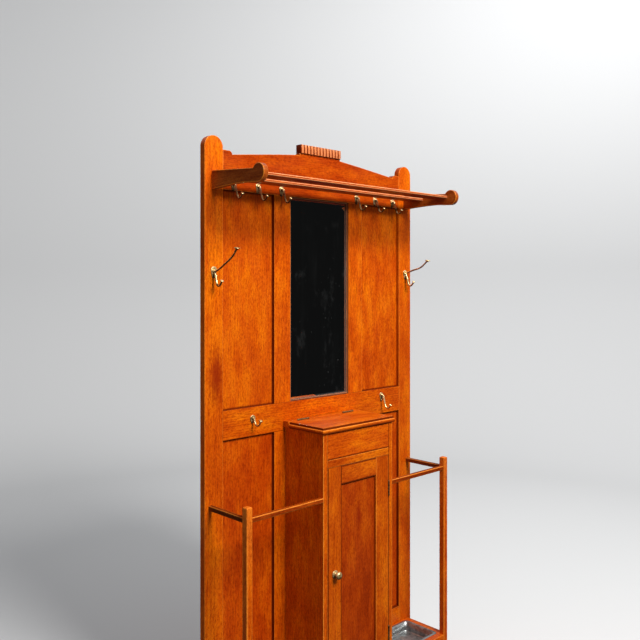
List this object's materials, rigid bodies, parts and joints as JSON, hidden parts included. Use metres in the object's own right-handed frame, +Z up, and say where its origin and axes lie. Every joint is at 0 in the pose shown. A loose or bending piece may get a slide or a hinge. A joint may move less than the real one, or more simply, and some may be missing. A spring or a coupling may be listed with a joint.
{
  "type": "hall stand",
  "caption": "Oak hall stand with a framed mirror, hat shelf, brass hooks, lidded glove box over a cupboard, and stick stands with drip trays.",
  "frame": {"origin": "on the floor, under the centre of the overall box", "axes": "+Z up, +X to the right of a person facing the stand, -Y towards that person, so the back is +Y"},
  "size_m": [1, 0.2781, 1.902],
  "materials": {
    "oak_frame": "golden orange oak under a glossy spirit varnish",
    "oak_panel": "flat-sawn golden oak panels, varnished",
    "oak_cupboard": "redder oak, varnished and polished",
    "brass": "worn polished brass",
    "mirror": "silvered plate glass",
    "tray_zinc": "dull galvanised sheet"
  },
  "bodies": {
    "frame": {"base_platform": "oak_frame", "bottom_rail": "oak_frame", "coat_hook_left": "brass", "coat_hook_right": "brass", "crest_rail": "oak_frame", "cupboard_back": "oak_panel", "cupboard_side_left": "oak_cupboard", "cupboard_side_right": "oak_cupboard", "door_hinge_fixed_bottom": "brass", "door_hinge_fixed_top": "brass", "glove_box_floor": "oak_cupboard", "glove_box_front": "oak_cupboard", "hat_hook_1": "brass", "hat_hook_2": "brass", "hat_hook_3": "brass", "hat_hook_4": "brass", "hat_hook_5": "brass", "hat_hook_6": "brass", "lid_hinge_fixed_left": "brass", "lid_hinge_fixed_right": "brass", "lid_hinge_strip": "oak_cupboard", "lower_muntin_left": "oak_frame", "lower_muntin_right": "oak_frame", "lower_panel_left": "oak_panel", "lower_panel_right": "oak_panel", "mid_rail": "oak_frame", "mirror_glass": "mirror", "plinth_front": "oak_frame", "post_left": "oak_frame", "post_right": "oak_frame", "rail_hook_left": "brass", "rail_hook_right": "brass", "reeded_block": "oak_frame", "shelf_bracket_left": "oak_frame", "shelf_bracket_right": "oak_frame", "shelf_slat_back": "oak_frame", "shelf_slat_front": "oak_frame", "stile_left": "oak_frame", "stile_right": "oak_frame", "top_front_rail_left": "oak_frame", "top_front_rail_right": "oak_frame", "top_side_rail_left": "oak_frame", "top_side_rail_right": "oak_frame", "upper_muntin_left": "oak_frame", "upper_muntin_right": "oak_frame", "upper_panel_left": "oak_panel", "upper_panel_right": "oak_panel"},
    "lid": {"lid": "oak_cupboard", "lid_hinge_leaf_left": "brass", "lid_hinge_leaf_right": "brass"},
    "door": {"door_hinge_leaf_bottom": "brass", "door_hinge_leaf_top": "brass", "door_knob": "brass", "door_panel": "oak_panel", "door_rail_bottom": "oak_cupboard", "door_rail_top": "oak_cupboard", "door_stile_left": "oak_cupboard", "door_stile_right": "oak_cupboard"},
    "tray_left": {"drip_tray_left": "tray_zinc"},
    "tray_right": {"drip_tray_right": "tray_zinc"}
  },
  "joints": [
    {"name": "lid_hinge", "type": "hinge", "parent": "frame", "child": "lid", "pos_m": [0, 0.08725, 0.9568], "axis": [-1, 0, 0], "range_deg": [0, 95]},
    {"name": "door_hinge", "type": "hinge", "parent": "frame", "child": "door", "pos_m": [0.14925, -0.07455, 0.45], "axis": [0, 0, 1], "range_deg": [0, 165]},
    {"name": "tray_left_lift", "type": "slide", "parent": "frame", "child": "tray_left", "axis": [0, 0, 1], "range_m": [0, 0.7]},
    {"name": "tray_right_lift", "type": "slide", "parent": "frame", "child": "tray_right", "axis": [0, 0, 1], "range_m": [0, 0.7]}
  ]
}
